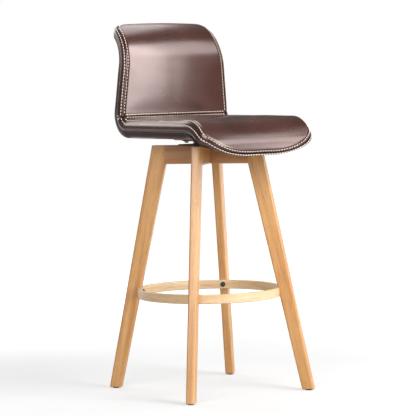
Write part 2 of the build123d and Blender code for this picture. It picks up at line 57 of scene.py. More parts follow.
# Upholstery, in millimetres: side bands, rounded ends, layers, seams and the mount's opening
GUSSET = 6.0
GUSSET_DEPTH = 22.0
NOSE_GUSSET = 9.0
FRONT_BOW = 75.0
BOW_WIDTH = 148.0
TOP_CORNER = 40.0
COVER_INSET = 1.5
LAYER_GAP = 0.5
SEAM_GAP = 0.3
PAD_INSET = GUSSET + SEAM_GAP
PAD_BACK = -11.5
STITCH_INSET = 6.2
WINDOW_HALF = 66.5
LEAST_HALF = 1.0

# How far round a mark a value is eased, and over how many samples
EASE_REACH = 20.0
EASE_SAMPLES = 9


def arc(y, z, heading, radius, turn, length):
    """Where an arc, or a straight line of a length, ends: y, z and heading."""
    chord = 2 * radius * math.sin(math.radians(abs(turn)) / 2) if turn else length
    angle = math.radians(heading + turn / 2)
    return y + chord * math.cos(angle), z + chord * math.sin(angle), heading + turn


def walk():
    """Start of each segment, as run, y, z, heading and length, and the run at the end."""
    y = z = run = 0.0
    heading = START_HEADING
    starts = {}
    for name, (size, turn) in SEGMENTS.items():
        length = size * math.radians(abs(turn)) if turn else size
        starts[name] = [run, y, z, heading, length]
        y, z, heading = arc(y, z, heading, size, turn, length)
        run += length
    shift_y = BEND_START - starts["bend"][1]
    shift_z = SEAM_HEIGHT - starts["bend"][2]
    for start in starts.values():
        start[1] += shift_y
        start[2] += shift_z
    return starts, run


STARTS, TOP_RUN = walk()
RUN_END = {name: start[0] + start[4] for name, start in STARTS.items()}
JUNCTION = RUN_END["bend"]
SEAT_END = JUNCTION - LAYER_GAP / 2
BACK_START = JUNCTION + LAYER_GAP / 2
FRONT_RUN = -GUSSET
BACK_TOP_RUN = TOP_RUN + GUSSET


@functools.lru_cache(None)
def seam(run):
    """Place and heading of the edge seam at a run."""
    name = "nose"
    for candidate, start in STARTS.items():
        if run >= start[0]:
            name = candidate
    size, turn = SEGMENTS[name]
    start_run, y, z, heading, length = STARTS[name]
    done = run - start_run
    inside = min(max(done, 0.0), length)
    y, z, heading = arc(y, z, heading, size, turn * inside / length, inside)
    y, z, heading = arc(y, z, heading, 0.0, 0.0, done - inside)
    return y, z, math.radians(heading)


def place(run, x, height):
    """Point in metres, height millimetres over the seam towards the sitter."""
    y, z, heading = seam(run)
    return (x * MM, (y - height * math.sin(heading)) * MM, (z + height * math.cos(heading)) * MM)


def along(run, marks):
    """Value at a run, eased over a short way round each mark."""
    runs, values = zip(*marks)
    spread = np.linspace(run - EASE_REACH, run + EASE_REACH, EASE_SAMPLES)
    return float(np.interp(spread, runs, values).mean())


# Values along the run: half the width, the pads' crown, the outer panel's thickness in the middle
# and at the sides, and the depth of the side bands
WIDTH_MARKS = [
    (RUN_END["lead"], 188.0),
    (RUN_END["seat"], 184.0),
    (RUN_END["rise"], 184.0),
    (RUN_END["back"], 172.0),
    (TOP_RUN, 157.0),
]
CROWN_MARKS = [
    (0.0, 5.5),
    (RUN_END["nose"], 12.0),
    ((RUN_END["run"] + RUN_END["lead"]) / 2, 23.0),
    (RUN_END["lead"], 20.0),
    (RUN_END["seat"], 20.0),
    (JUNCTION, 10.0),
    ((RUN_END["rise"] + RUN_END["back"]) / 2, 13.0),
    (RUN_END["back"], 13.0),
    (TOP_RUN, 13.0),
]
FULL_MARKS = [
    (RUN_END["run"], 8.0),
    (RUN_END["lead"], 24.0),
    (RUN_END["seat"], 24.0),
    (JUNCTION, 31.0),
    (RUN_END["rise"], 27.0),
    (RUN_END["back"], 27.0),
    (TOP_RUN, 9.0),
]
SIDE_MARKS = [
    (RUN_END["run"], 5.0),
    (RUN_END["lead"], 15.0),
    (RUN_END["seat"], 15.0),
    (JUNCTION, 26.0),
    (RUN_END["rise"], 20.0),
    (RUN_END["back"], 20.0),
    (TOP_RUN, 5.0),
]
GUSSET_MARKS = [(0.0, NOSE_GUSSET), (RUN_END["lead"], GUSSET_DEPTH)]


def roll(distance, width):
    """Quarter round: 0 at the seam and 1 from width on."""
    share = min(max(distance / width, 0.0), 1.0)
    return math.sqrt(max(1 - (1 - share) ** 2, 0.0))


def dimple(distance, centre, width):
    """Bell of height 1 round a centre."""
    return math.exp(-(((distance - centre) / width) ** 2))


@functools.lru_cache(None)
def side(run):
    """Half the width over the gussets before the corners are rounded."""
    return along(run, WIDTH_MARKS)


def corner(distance, reach, width):
    """How far an elliptical corner draws the side in, at a distance from the end."""
    return width * (1 - roll(distance, reach))


@functools.lru_cache(None)
def half(run, inset):
    """Half the width at a run, inside the outer outline by inset."""
    front = corner(run - FRONT_RUN - inset, FRONT_BOW - inset, BOW_WIDTH - inset)
    top = corner(BACK_TOP_RUN - inset - run, TOP_CORNER - inset, TOP_CORNER - inset)
    return side(run) - inset - front - top


def across_share(run, x, inset):
    """Place across a panel, from -1 at its left edge to 1 at its right edge."""
    return min(max(x / max(half(run, inset), LEAST_HALF), -1.0), 1.0)


def edge_distance(run, x):
    """Distance from the outer outline, on the unrolled panel."""
    across = side(run) - abs(x)
    found = across
    ends = (
        (run - FRONT_RUN, FRONT_BOW, BOW_WIDTH),
        (BACK_TOP_RUN - run, TOP_CORNER, TOP_CORNER),
    )
    for ahead, reach, width in ends:
        if ahead < reach and across < width:
            u = (reach - ahead) / reach
            v = (width - across) / width
            share = math.hypot(u, v)
            found = min(found, (1 - share) * share / math.hypot(u / reach, v / width))
        else:
            found = min(found, ahead)
    return found


# Mesh helpers

# Spacing in millimetres: close together from a panel's edge or end, then even
EDGE_STEPS = [0.0, 0.3, 0.9, 1.8, 3.0, 4.5, 6.2, 8.2, 10.5, 13.5, 17.0]
END_STEPS = EDGE_STEPS[:9]
RUN_STEP = 4.0
FLAT_STEP = 6.0
PAD_COLUMNS = 56
CORNER_ANGLES = np.linspace(0, math.pi / 2, 44)


def edge_samples(half_width):
    """Places across a pad, close together at its edges."""
    inner = half_width - EDGE_STEPS[-1]
    left = [edge - half_width for edge in EDGE_STEPS[:-1]]
    middle = list(np.linspace(-inner, inner, PAD_COLUMNS + 1))
    return left + middle + [-x for x in reversed(left)]


def end_samples(length):
    """Distances from a straight panel end, close together at the end."""
    count = round((length - END_STEPS[-1]) / RUN_STEP)
    return END_STEPS[:-1] + list(np.linspace(END_STEPS[-1], length, count + 1))


def corner_samples(inset, reach):
    """Distances from a rounded panel end, even round its corner."""
    return [inset + (reach - inset) * (1 - math.cos(angle)) for angle in CORNER_ANGLES]


def smooth_object(name, vertices, faces, material, body, painted_groove_shades=()):
    """A smooth-shaded mesh on a body, with the painted shade of its seams, from 0 to 1, as an
    attribute.
    """
    mesh = bpy.data.meshes.new(name)
    mesh.from_pydata(vertices, [], faces)
    if painted_groove_shades:
        mesh.attributes.new("painted_groove_shade", "FLOAT", "POINT").data.foreach_set("value", painted_groove_shades)
    mesh.validate()
    mesh.polygons.foreach_set("use_smooth", [True] * len(mesh.polygons))
    mesh.update()
    made = bpy.data.objects.new(name, mesh)
    bpy.context.scene.collection.objects.link(made)
    made.data.materials.append(material)
    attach(made, body)
    return made


def slab(runs, across, front, back, open_cell, painted_groove_shade):
    """Vertices, faces and painted seam shade of a closed panel between two surfaces, less its
    open cells.
    """
    columns = len(across(runs[0]))
    rows = len(runs)
    vertices, painted_groove_shades = [], []
    for surface in (front, back):
        for run in runs:
            vertices += [place(run, x, surface(run, x)) for x in across(run)]
            painted_groove_shades += [painted_groove_shade(run, x) for x in across(run)]
    offset = rows * columns

    def kept(row, column):
        if not (0 <= row < rows - 1 and 0 <= column < columns - 1):
            return False
        run = (runs[row] + runs[row + 1]) / 2
        xs = across(run)
        return not open_cell(run, (xs[column] + xs[column + 1]) / 2)

    faces = []
    for row in range(rows - 1):
        for column in range(columns - 1):
            if not kept(row, column):
                continue
            a = row * columns + column
            b, c, d = a + 1, a + columns + 1, a + columns
            faces.append((a, b, c, d))
            faces.append((d + offset, c + offset, b + offset, a + offset))
            borders = (
                ((row - 1, column), a, b),
                ((row, column + 1), b, c),
                ((row + 1, column), c, d),
                ((row, column - 1), d, a),
            )
            for cell, first, second in borders:
                if not kept(*cell):
                    faces.append((second, first, first + offset, second + offset))
    used = sorted({index for face in faces for index in face})
    number = {old: new for new, old in enumerate(used)}
    faces = [tuple(number[i] for i in face) for face in faces]
    return [vertices[old] for old in used], faces, [painted_groove_shades[old] for old in used]


def sheet_faces(rows, columns):
    """Faces of an open sheet of vertices, row after row."""
    faces = []
    for row in range(rows - 1):
        for column in range(columns - 1):
            a = row * columns + column
            faces.append((a, a + 1, a + columns + 1, a + columns))
    return faces


def tube_faces(rings, size, base=0):
    """Faces of a tube of rings of vertices, closed at both ends, from vertex base on."""
    faces = []
    for ring in range(rings - 1):
        for turn in range(size):
            a = base + ring * size + turn
            b = base + ring * size + (turn + 1) % size
            faces.append((a, b, b + size, a + size))
    last = base + (rings - 1) * size
    faces.append(tuple(range(base, base + size))[::-1])
    faces.append(tuple(range(last, last + size)))
    return faces


# Materials


def linear(red, green, blue):
    """A display colour, 0 to 255, as the shader's linear colour."""
    shares = [value / 255 for value in (red, green, blue)]
    return [c / 12.92 if c <= 0.04045 else ((c + 0.055) / 1.055) ** 2.4 for c in shares] + [1.0]


class Nodes:
    """A node tree, with short calls to add and join its nodes."""

    def __init__(self, tree):
        self.tree = tree

    def add(self, kind, **settings):
        node = self.tree.nodes.new(kind)
        for key, value in settings.items():
            setattr(node, key, value)
        return node

    def put(self, socket, value):
        """Joins a socket to another one, or sets it to a constant."""
        if isinstance(value, bpy.types.NodeSocket):
            self.tree.links.new(value, socket)
        else:
            socket.default_value = value

    def feed(self, node, **values):
        """Puts values into a node's inputs by their names, with _ for a space."""
        for key, value in values.items():
            self.put(node.inputs[key.replace("_", " ")], value)

    def math(self, operation, first, second=0.0):
        node = self.add("ShaderNodeMath", operation=operation)
        self.put(node.inputs[0], first)
        self.put(node.inputs[1], second)
        return node.outputs[0]

    def reach(self, x, y):
        """Distance from the axis."""
        squares = self.math("ADD", self.math("MULTIPLY", x, x), self.math("MULTIPLY", y, y))
        return self.math("SQRT", squares)

    def dot(self, vector, direction):
        node = self.add("ShaderNodeVectorMath", operation="DOT_PRODUCT")
        self.put(node.inputs[0], vector)
        self.put(node.inputs[1], direction)
        return node.outputs["Value"]

    def combine(self, x, y, z):
        node = self.add("ShaderNodeCombineXYZ")
        self.feed(node, X=x, Y=y, Z=z)
        return node.outputs[0]

    def stretch(self, axes, along_grain, across_grain):
        """Coordinates scaled along the grain, and across and through it."""
        scales = (along_grain, across_grain, across_grain)
        scaled = [self.math("MULTIPLY", axis, scale) for axis, scale in zip(axes, scales)]
        return self.combine(*scaled)

    def separate(self, vector):
        node = self.add("ShaderNodeSeparateXYZ")
        self.put(node.inputs[0], vector)
        return node.outputs

    def noise(self, vector, scale=1.0, detail=3.0, roughness=0.5, distortion=0.0):
        node = self.add("ShaderNodeTexNoise")
        self.feed(node, Vector=vector, Scale=scale, Detail=detail)
        self.feed(node, Roughness=roughness, Distortion=distortion)
        return node.outputs["Fac"]

    def voronoi(self, vector, scale, feature):
        node = self.add("ShaderNodeTexVoronoi", feature=feature)
        self.feed(node, Vector=vector, Scale=scale)
        return node.outputs["Distance"]

    def spread(self, value, low, high, new_low=0.0, new_high=1.0):
        node = self.add("ShaderNodeMapRange", interpolation_type="SMOOTHSTEP")
        self.feed(node, Value=value, From_Min=low, From_Max=high, To_Min=new_low, To_Max=new_high)
        return node.outputs["Result"]

    def mix(self, share, first, second):
        node = self.add("ShaderNodeMix", data_type="RGBA")
        self.feed(node, Factor=share)
        colours = [socket for socket in node.inputs if socket.type == "RGBA"]
        self.put(colours[0], first)
        self.put(colours[1], second)
        return next(socket for socket in node.outputs if socket.type == "RGBA")

    def bump(self, height, strength, distance, under=None):
        node = self.add("ShaderNodeBump")
        self.feed(node, Height=height, Strength=strength, Distance=distance)
        if under is not None:
            self.feed(node, Normal=under)
        return node.outputs["Normal"]


class Material(Nodes):
    """A material's nodes, with its shader and the place on the object."""

    def __init__(self, name):
        self.material = bpy.data.materials.new(name)
        self.material.use_nodes = True
        super().__init__(self.material.node_tree)
        self.shader = self.tree.nodes["Principled BSDF"]
        self.point = self.add("ShaderNodeTexCoord").outputs["Object"]

    def set(self, **values):
        self.feed(self.shader, **values)
        return self.material


# Painted shade in the seams: its dark colour, and how much of it there is at the deepest
GROOVE_PAINTED_SHADE_COLOUR = (24, 13, 11)
GROOVE_PAINTED_SHADE_SHARE = 0.85


def leather(name, dark, light, gloss, coat):
    """Semi-gloss leather with a fine pebble, faint creases, slightly uneven dye and painted shade
    along its seams.
    """
    n = Material(name)
    cloudy = n.noise(n.point, scale=9.0, detail=1.5)
    pebble = n.voronoi(n.point, scale=620.0, feature="SMOOTH_F1")
    crease = n.noise(n.point, scale=60.0, detail=1.5, distortion=0.3)
    colour = n.mix(n.spread(cloudy, 0.3, 0.7), linear(*dark), linear(*light))
    worn = n.spread(crease, 0.4, 1.0, new_high=0.3)
    colour = n.mix(worn, colour, linear(*light))
    # Painted shade: the leather is darkened along its seams wherever the mesh's attribute is high
    painted_groove_shade = n.add("ShaderNodeAttribute", attribute_name="painted_groove_shade").outputs["Fac"]
    colour = n.mix(n.math("MULTIPLY", painted_groove_shade, GROOVE_PAINTED_SHADE_SHARE), colour, linear(*GROOVE_PAINTED_SHADE_COLOUR))
    normal = n.bump(crease, strength=0.03, distance=0.001)
    normal = n.bump(pebble, strength=0.06, distance=0.0004, under=normal)
    rough = n.spread(n.noise(n.point, scale=16.0, detail=2.0), 0.0, 1.0, 0.2, 0.3)
    n.set(Base_Color=colour, Roughness=rough, Normal=normal)
    n.set(Specular_IOR_Level=gloss, Specular_Tint=(1.0, 0.8, 0.77, 1.0))
    return n.set(Coat_Weight=coat, Coat_Roughness=0.2)


def thread(name, dark, light):
    """Twisted thread."""
    n = Material(name)
    twist = n.noise(n.point, scale=1400.0, detail=2.0)
    colour = n.mix(n.spread(twist, 0.3, 0.7), linear(*dark), linear(*light))
    normal = n.bump(twist, strength=0.4, distance=0.0003)
    return n.set(Base_Color=colour, Roughness=0.75, Normal=normal)


def beech_nodes(name, grain, dark, light):
    """Nodes and colour of varnished beech. grain gives the axes along, across and through it."""
    n = Material(name)
    axes = grain(n)
    deep = linear(*(value * 0.72 for value in dark))
    streak = n.noise(n.stretch(axes, 3.0, 46.0), detail=5.0, roughness=0.6, distortion=0.6)
    pores = n.noise(n.stretch(axes, 22.0, 420.0), roughness=0.6)
    rays = n.noise(n.stretch(axes, 120.0, 620.0), detail=1.0)
    colour = n.mix(n.spread(streak, 0.3, 0.7), linear(*dark), linear(*light))
    colour = n.mix(n.spread(pores, 0.5, 0.8, new_high=0.5), colour, deep)
    colour = n.mix(n.spread(rays, 0.63, 0.72, new_high=0.35), colour, deep)
    rough = n.spread(streak, 0.2, 0.8, 0.34, 0.46)
    normal = n.bump(pores, strength=0.08, distance=0.0004)
    n.set(Base_Color=colour, Roughness=rough, Normal=normal)
    n.set(Coat_Weight=0.5, Coat_Roughness=0.22)
    return n, colour


def beech(name, grain, wood):
    """Varnished beech in a wood's dark and light colour."""
    return beech_nodes(name, grain, *wood)[0].material


def straight_grain(along_axis, across_axis, shift):
    """Grain along one axis of a straight board."""
    through = Vector(along_axis).cross(Vector(across_axis))

    def grain(n):
        u = n.math("ADD", n.dot(n.point, along_axis), shift)
        return u, n.dot(n.point, across_axis), n.dot(n.point, through)

    return grain


# The footrest's bend in metres, for the length of its grain, and the place of its scarf joint
BEND_RADIUS = 0.2
SCARF_AZIMUTH = 200.0
SCARF_HEIGHT = 0.276
SCARF_SLANT = 0.6
GLUE_COLOUR = (120, 78, 44)


def ring_grain(n):
    """Grain round the swivel axis."""
    x, y, z = n.separate(n.point)
    angle = n.math("ARCTAN2", y, x)
    return n.math("MULTIPLY", angle, BEND_RADIUS), n.reach(x, y), z


def footrest_wood(name, wood):
    """Bent beech with the glue line of its scarf joint."""
    n, colour = beech_nodes(name, ring_grain, *wood)
    x, y, z = n.separate(n.point)
    angle = n.math("ARCTAN2", y, x)
    slant = n.math("MULTIPLY", n.math("SUBTRACT", z, SCARF_HEIGHT), SCARF_SLANT)
    from_scarf = n.math("SUBTRACT", n.math("ADD", angle, slant), math.radians(SCARF_AZIMUTH))
    line = n.spread(n.math("ABSOLUTE", from_scarf), 0.002, 0.006, 0.75, 0.0)
    return n.set(Base_Color=n.mix(line, colour, linear(*GLUE_COLOUR)))


VENEER = 0.0014


def plywood(name, face, core, streak):
    """Raw plywood with its veneers showing on the edges."""
    n = Material(name)
    x, y, z = n.separate(n.point)
    layers = n.math("PINGPONG", z, VENEER)
    colour = n.mix(n.spread(layers, 0.0004, 0.001), linear(*face), linear(*core))
    stretched = n.combine(n.math("MULTIPLY", x, 12.0), n.math("MULTIPLY", y, 240.0), z)
    grain = n.noise(stretched, detail=4.0)
    colour = n.mix(n.spread(grain, 0.45, 0.75, new_high=0.4), colour, linear(*streak))
    normal = n.bump(grain, strength=0.2, distance=0.0004)
    return n.set(Base_Color=colour, Roughness=0.7, Normal=normal)


def metal(name, dark, light, roughness, metallic):
    """Metal, coated metal or plastic with a fine mottle."""
    n = Material(name)
    mottle = n.noise(n.point, scale=320.0, detail=4.0, roughness=0.6)
    colour = n.mix(n.spread(mottle, 0.3, 0.7), linear(*dark), linear(*light))
    rough = n.spread(mottle, 0.2, 0.8, roughness - 0.06, roughness + 0.08)
    normal = n.bump(mottle, strength=0.12, distance=0.0002)
    return n.set(Base_Color=colour, Roughness=rough, Normal=normal, Metallic=metallic)


LEATHER = leather("leather", (54, 28, 22), (68, 37, 30), gloss=1.0, coat=0.45)
# The outer panel's leather is a lighter copy of the pads' leather: painted light for its dimly
# lit belly
UNDER_LEATHER_PAINTED_LIGHT = leather("under_leather_painted_light", (66, 36, 30), (82, 48, 40), gloss=0.3, coat=0.0)
THREAD = thread("thread", (228, 208, 188), (250, 240, 226))
BLACK_STEEL = metal("black_steel", (20, 20, 22), (34, 34, 37), 0.42, 0.0)
DARK_STEEL = metal("dark_steel", (74, 74, 78), (104, 104, 110), 0.24, 1.0)
ZINC = metal("zinc", (176, 178, 182), (214, 216, 220), 0.3, 1.0)
BALL_STEEL = metal("ball_steel", (196, 198, 204), (224, 226, 230), 0.14, 1.0)
BRASS = metal("brass", (168, 134, 70), (196, 160, 92), 0.34, 1.0)
NYLON = metal("nylon", (26, 23, 20), (44, 39, 35), 0.55, 0.0)
PLYWOOD = plywood("plywood", (196, 160, 116), (150, 110, 70), (130, 92, 58))
LEG_WOOD = ((194, 136, 77), (220, 168, 108))
# The rails' beech is a darker copy of the legs' beech: painted shade for the seat's shadow over
# them
RAIL_WOOD_PAINTED_SHADE = ((172, 115, 62), (198, 142, 86))
DOWEL_WOOD = ((186, 134, 84), (214, 164, 110))
RING_WOOD = ((214, 178, 134), (234, 207, 167))

# Pads

# The filling: how far its middle starts under the crown, before the leather swells, and its sides
SEAT_DROP = 5.0
BACK_DROP = 1.5
SHOULDER = 6.0
SHOULDER_RUN = (RUN_END["nose"] + RUN_END["lead"]) / 2
SHOULDER_LENGTH = 75.0
SEAT_EDGE_SHARE = 0.6
BACK_EDGE_MARKS = [
    (JUNCTION, 0.45),
    (RUN_END["rise"] + 40.0, 0.28),
    (RUN_END["back"], 0.28),
    (TOP_RUN, 0.58),
]

# How the seams and stitches draw the leather in, and the reach and strength of the painted shade
# beside the seams
SEAM_SINK = 5.0
SEAM_ROLL = 13.0
SEAM_SHADE = 2.4
STITCH_SINK = 0.9
STITCH_WIDTH = 1.8
JUNCTION_SINK = 4.0
JUNCTION_ROLL = 6.0
JUNCTION_SHADE = 1.8
JUNCTION_SHARE = 0.7
JUNCTION_STITCH_INSET = 5.4
JUNCTION_STITCH_SINK = 0.8

# A shallow hollow in the back, and a crease that runs off the seam in the bend to the left
HOLLOW_DEPTH = 0.8
HOLLOW_RUN = RUN_END["rise"] + 70
HOLLOW_LENGTH = 55
HOLLOW_X = -8
HOLLOW_WIDTH = 26
CREASE_DEPTH = 0.8
CREASE_WIDTH = 6.0
CREASE_X = -55.0
CREASE_REACH = 75.0
CREASE_NEAR = 12.0
CREASE_NEAR_X = 20.0
CREASE_FALL = 33.0
CREASE_SPAN = 140.0
RIDGE_HEIGHT = 0.5
RIDGE_WIDTH = 8.0
RIDGE_OFFSET = 11.0


@functools.lru_cache(None)
def filling(run):
    """Height of the pads' filling in the middle and along its sides."""
    crown = along(run, CROWN_MARKS)
    if run > JUNCTION:
        return crown, crown * along(run, BACK_EDGE_MARKS)
    shoulder = SHOULDER * dimple(run, SHOULDER_RUN, SHOULDER_LENGTH)
    return crown, crown * SEAT_EDGE_SHARE + shoulder


def from_seam(run, x):
    """Distance of a place on a pad from the edge seam."""
    return edge_distance(run, x) - GUSSET - SEAM_GAP


def from_junction(run):
    """Distance of a place on a pad from the seam in the bend."""
    return abs(run - JUNCTION) - LAYER_GAP / 2


def creased(run, x):
    """Depth of the crease beside the seam in the bend."""
    crease = JUNCTION - CREASE_NEAR - CREASE_FALL * (CREASE_NEAR_X - x) / CREASE_SPAN
    valley = dimple(run, crease, CREASE_WIDTH)
    ridge = dimple(run, crease - RIDGE_OFFSET, RIDGE_WIDTH)
    return dimple(x, CREASE_X, CREASE_REACH) * (CREASE_DEPTH * valley - RIDGE_HEIGHT * ridge)


def pad_shape(run, x):
    """The filling of the pads over the seam, drawn in at the seams and stitches."""
    crown, edge = filling(run)
    share = across_share(run, x, GUSSET)
    in_from_seam, in_from_junction = from_seam(run, x), from_junction(run)
    drop = SEAT_DROP if run < JUNCTION else BACK_DROP
    height = edge + (crown - edge - drop) * (1 - share**2)
    height -= (edge + SEAM_SINK) * (1 - roll(in_from_seam, SEAM_ROLL))
    height -= JUNCTION_SINK * (1 - roll(in_from_junction, JUNCTION_ROLL))
    height -= STITCH_SINK * dimple(in_from_seam, STITCH_INSET, STITCH_WIDTH)
    height -= JUNCTION_STITCH_SINK * dimple(in_from_junction, JUNCTION_STITCH_INSET, STITCH_WIDTH)
    hollow = HOLLOW_DEPTH * dimple(run, HOLLOW_RUN, HOLLOW_LENGTH)
    height -= hollow * dimple(x, HOLLOW_X, HOLLOW_WIDTH)
    return height - creased(run, x) if run < JUNCTION else height


def pad_height(run, x):
    """Leather surface of the pads over the seam."""
    return pad_shape(run, x) + settled_height(run, x)


def pad_back(run, x):
    """Flat underside of the pads."""
    return PAD_BACK


def pad_painted_shade(run, x):
    """Painted shade along the pads' seams."""
    at_seam = dimple(max(from_seam(run, x), 0.0), 0.0, SEAM_SHADE)
    return max(at_seam, JUNCTION_SHARE * dimple(from_junction(run), 0.0, JUNCTION_SHADE))


def pad_across(run):
    """Places across the pads at a run."""
    return edge_samples(half(run, PAD_INSET))


def closed(run, x):
    """The pads have no opening."""
    return False


def seat_runs():
    """Runs of the seat pad's rows, from its front to the bend."""
    front = [FRONT_RUN + d for d in corner_samples(PAD_INSET, FRONT_BOW)]
    rear = [SEAT_END - d for d in end_samples(SEAT_END - front[-1])]
    return front + rear[::-1][1:]


def back_runs():
    """Runs of the back pad's rows, from the bend to its top."""
    top = [BACK_TOP_RUN - d for d in corner_samples(PAD_INSET, TOP_CORNER)]
    bottom = [BACK_START + d for d in end_samples(top[-1] - BACK_START)]
    return bottom[:-1] + top[::-1]


# The pads' leather as a sheet held at its seams, which settles over the filling under pressure

SHEET_STEP = 8.0
SHEET_SHARES = np.linspace(-1, 1, 49)
SHEET_FRAMES = 20
SHEET_HELD = 4.0
SHEET_CAP = (-1.0, 5.0)
SHEET_EVEN = 3
SHEET_SETTINGS = {
    "quality": 6,
    "mass": 0.4,
    "tension_stiffness": 30.0,
    "compression_stiffness": 30.0,
    "shear_stiffness": 8.0,
    "bending_stiffness": 12.0,
    "use_pressure": True,
    "uniform_pressure_force": 4.0,
    "vertex_group_mass": "held",
}
LAST_CELL = 1.001


def press(sheet):
    """Runs the cloth simulation on a sheet, and returns where its vertices come to."""
    scene = bpy.context.scene
    cloth = sheet.modifiers.new("cloth", "CLOTH")
    for key, value in SHEET_SETTINGS.items():
        setattr(cloth.settings, key, value)
    cloth.settings.effector_weights.gravity = 0.0
    cloth.collision_settings.use_collision = False
    cloth.point_cache.frame_start = 1
    cloth.point_cache.frame_end = SHEET_FRAMES
    for frame_number in range(1, SHEET_FRAMES + 1):
        scene.frame_set(frame_number)
    moved = np.empty(len(sheet.data.vertices) * 3)
    settled_sheet = sheet.evaluated_get(bpy.context.evaluated_depsgraph_get())
    settled_sheet.data.vertices.foreach_get("co", moved)
    scene.frame_set(1)
    return moved.reshape(-1, 3)


def settle(first, last):
    """Height that the leather moves by, on a grid of runs and shares of the half width."""
    runs = np.linspace(first, last, round((last - first) / SHEET_STEP) + 1)
    shares = SHEET_SHARES.tolist()
    spots = [(run, share * half(run, PAD_INSET)) for run in runs.tolist() for share in shares]
    start = np.array([place(run, x, pad_shape(run, x)) for run, x in spots])
    mesh = bpy.data.meshes.new("sheet")
    mesh.from_pydata([tuple(point) for point in start], [], sheet_faces(len(runs), len(shares)))
    sheet = bpy.data.objects.new("sheet", mesh)
    bpy.context.scene.collection.objects.link(sheet)
    held = sheet.vertex_groups.new(name="held")
    for index, (run, x) in enumerate(spots):
        inside = min(edge_distance(run, x) - GUSSET, abs(run - JUNCTION)) - STITCH_INSET
        held.add([index], 1.0 if inside < SHEET_HELD else 0.0, "REPLACE")
    way = press(sheet) - start
    bpy.data.objects.remove(sheet)
    bpy.data.meshes.remove(mesh)
    headings = np.array([seam(run)[2] for run, _ in spots])
    lift = (way[:, 2] * np.cos(headings) - way[:, 1] * np.sin(headings)) / MM
    lift = np.clip(lift, *SHEET_CAP).reshape(len(runs), len(shares))
    for _ in range(SHEET_EVEN):
        lift[1:-1] = (lift[:-2] + 2 * lift[1:-1] + lift[2:]) / 4
        lift[:, 1:-1] = (lift[:, :-2] + 2 * lift[:, 1:-1] + lift[:, 2:]) / 4
    return runs, lift


def settled_height(run, x):
    """The settled sheet's height at a place on a pad."""
    runs, lift = SETTLED_SEAT if run < JUNCTION else SETTLED_BACK
    row = (run - runs[0]) / (runs[1] - runs[0])
    column = (across_share(run, x, PAD_INSET) + 1) / 2 * (len(SHEET_SHARES) - 1)
    row = min(max(row, 0.0), len(runs) - LAST_CELL)
    column = min(max(column, 0.0), len(SHEET_SHARES) - LAST_CELL)
    i, j = int(row), int(column)
    u, v = row - i, column - j
    low = lift[i, j] * (1 - v) + lift[i, j + 1] * v
    high = lift[i + 1, j] * (1 - v) + lift[i + 1, j + 1] * v
    return float(low * (1 - u) + high * u)


SETTLED_SEAT = settle(FRONT_RUN + GUSSET + SEAM_GAP, SEAT_END)
SETTLED_BACK = settle(BACK_START, BACK_TOP_RUN - GUSSET - SEAM_GAP)


def pad(name, runs, node):
    """One cushion, with the settled leather on its face."""
    vertices, faces, painted_groove_shades = slab(runs, pad_across, pad_height, pad_back, closed, pad_painted_shade)
    made = smooth_object(name, vertices, faces, LEATHER, "seat", painted_groove_shades)
    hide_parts(node)


# Side bands

# Height of a band's lip, and the most that it takes of the band's depth
BAND_LIP = 5.0
BAND_LIP_SHARE = 0.45


def outline(from_run, front):
    """Outer outline of a panel, from the junction round its end and back, with the way in."""
    reach, width = (FRONT_BOW, BOW_WIDTH) if front else (TOP_CORNER, TOP_CORNER)
    end = FRONT_RUN if front else BACK_TOP_RUN
    way = 1.0 if front else -1.0
    begin = end + way * reach
    count = round(abs(begin - from_run) / RUN_STEP)
    points = [(run, side(run)) for run in np.linspace(from_run, begin, count + 1)]
    for angle in CORNER_ANGLES[1:]:
        run = begin - way * reach * math.sin(angle)
        points.append((run, side(run) - width + width * math.cos(angle)))
    flat_count = round(points[-1][1] / FLAT_STEP)
    points += [(end, x) for x in np.linspace(points[-1][1], 0, flat_count + 1)[1:]]
    points += [(run, -x) for run, x in points[-2::-1]]
    flat = np.array(points)
    tangent = np.gradient(flat, axis=0)
    inward = np.stack([tangent[:, 1], -tangent[:, 0]], 1)
    inward /= np.linalg.norm(inward, axis=1)[:, None]
    middle = np.array([(from_run + end) / 2, 0.0])
    if ((middle - flat[0]) @ inward[0]) < 0:
        inward = -inward
    return flat, inward


def gusset_depth(run):
    """Depth of the side bands at a run."""
    return along(run, GUSSET_MARKS)


def gusset_section(depth):
    """A side band's section, from the seam over its lip to the rear: inset, height, painted
    shade.
    """
    lip = min(BAND_LIP, BAND_LIP_SHARE * depth)
    return [
        (GUSSET, -lip, 1.0),
        (5.7, -0.5 * lip, 1.0),
        (5.0, -0.12 * lip, 0.6),
        (4.2, 0.04 * lip, 0.1),
        (3.2, 0.08 * lip, 0.0),
        (1.8, -0.08 * lip, 0.0),
        (0.6, -0.42 * lip, 0.0),
        (0.0, -lip, 0.0),
        (-0.5, -0.45 * depth, 0.0),
        (-0.5, -0.62 * depth, 0.0),
        (0.1, -0.8 * depth, 0.1),
        (1.0, -0.93 * depth, 0.6),
        (2.6, -depth, 1.0),
        (GUSSET, -depth, 1.0),
    ]


def gusset(name, from_run, front, node):
    """One side band, from the junction round its panel's end and back."""
    flat, inward = outline(from_run, front)
    sections = [gusset_section(gusset_depth(run)) for run, _ in flat]
    vertices, painted_groove_shades = [], []
    for (run, x), (run_in, x_in), section in zip(flat, inward, sections):
        for inset, height, painted_groove_shade in section:
            vertices.append(place(run + run_in * inset, x + x_in * inset, height))
            painted_groove_shades.append(painted_groove_shade)
    faces = tube_faces(len(sections), len(sections[0]))
    made = smooth_object(name, vertices, faces, LEATHER, "seat", painted_groove_shades)
    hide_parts(node)


# Outer panel

